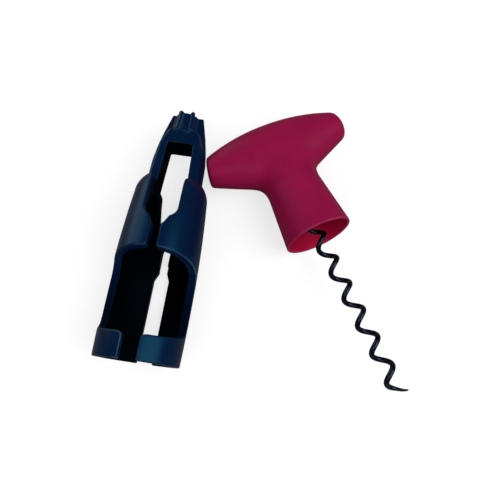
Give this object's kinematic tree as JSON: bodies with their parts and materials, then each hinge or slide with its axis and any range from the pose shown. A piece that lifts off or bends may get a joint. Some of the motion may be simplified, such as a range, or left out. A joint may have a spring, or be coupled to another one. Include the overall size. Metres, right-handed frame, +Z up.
{
  "type": "two-piece corkscrew",
  "caption": "Table corkscrew lying apart: springy two-legged frame with neck ring, grips, window and ribbed crown, and a T-handle with a hollow skirt and a long coated wire worm.",
  "frame": {"origin": "under the middle of the whole part as it lies, on the table", "axes": "+Y along the frame from its neck ring to its crown, +Z up, out of the front of the frame, +X from the frame towards the handle that lies beside it"},
  "size_m": [0.1328, 0.1367, 0.0382],
  "materials": {
    "frame_plastic": "semi-gloss",
    "handle_plastic": "satin",
    "hub_plastic": "matt",
    "worm_coating": "non-stick coated steel, glossy"
  },
  "bodies": {
    "frame_top": {"crown": "frame_plastic", "shoulder_block": "frame_plastic"},
    "left_leg": {"left_rail": "frame_plastic", "left_grip": "frame_plastic", "left_shell": "frame_plastic", "left_band": "frame_plastic"},
    "right_leg": {"right_rail": "frame_plastic", "right_grip": "frame_plastic", "right_shell": "frame_plastic", "right_band": "frame_plastic"},
    "worm_carrier": {"worm_hub": "hub_plastic"},
    "handle": {"handle": "handle_plastic", "worm": "worm_coating"}
  },
  "joints": [
    {"name": "left_leg_flex", "type": "hinge", "parent": "frame_top", "child": "left_leg", "pos_m": [-0.05645, 0.03629, 0.01791], "axis": [0.0279, 0.0209, 0.9994], "range_deg": [-1, 1.7], "stiffness_Nm_per_rad": 12},
    {"name": "right_leg_flex", "type": "hinge", "parent": "frame_top", "child": "right_leg", "pos_m": [-0.03869, 0.03628, 0.01742], "axis": [-0.0279, -0.0209, -0.9994], "range_deg": [-1, 1.7], "stiffness_Nm_per_rad": 12},
    {"name": "worm_travel", "type": "slide", "parent": "frame_top", "child": "worm_carrier", "axis": [0.5067, -0.8602, 0.0572], "range_m": [0, 0.1164]},
    {"name": "handle_turn", "type": "hinge", "parent": "worm_carrier", "child": "handle", "pos_m": [0.00205, 0.03902, 0.0137], "axis": [0.5067, -0.8602, 0.0572], "continuous": true}
  ]
}
